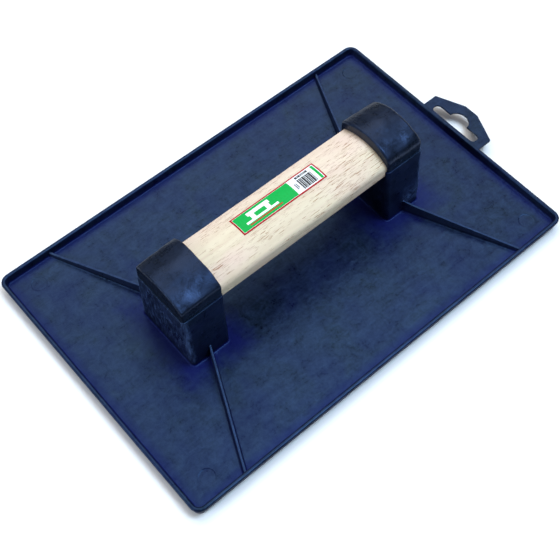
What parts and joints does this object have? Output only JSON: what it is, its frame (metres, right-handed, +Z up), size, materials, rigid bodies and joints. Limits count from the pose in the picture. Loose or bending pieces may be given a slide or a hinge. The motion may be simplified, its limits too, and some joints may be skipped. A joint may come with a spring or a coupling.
{
  "type": "hand float",
  "caption": "Rectangular plasterer's hand float: a rimmed plastic sole with ribs, hollow posts and a hang tab, and a wooden grip under crowned end caps.",
  "frame": {"origin": "middle of the flat working face of the sole", "axes": "+X along the sole towards the hang tab, +Y across the sole, +Z up from the working face to the grip"},
  "size_m": [0.2876, 0.18, 0.062],
  "materials": {
    "body_plastic": "satin moulded, dark navy",
    "cap_plastic": "satin moulded, black-navy",
    "grip_wood": "sanded pale hardwood, unvarnished",
    "screw_steel": "zinc plated",
    "label_print": "printed film label"
  },
  "bodies": {
    "root": {"float_body": "body_plastic", "handle_grip": "grip_wood", "left_end_cap": "cap_plastic", "right_end_cap": "cap_plastic", "left_handle_screw": "screw_steel", "right_handle_screw": "screw_steel", "handle_label": "label_print"}
  },
  "joints": []
}
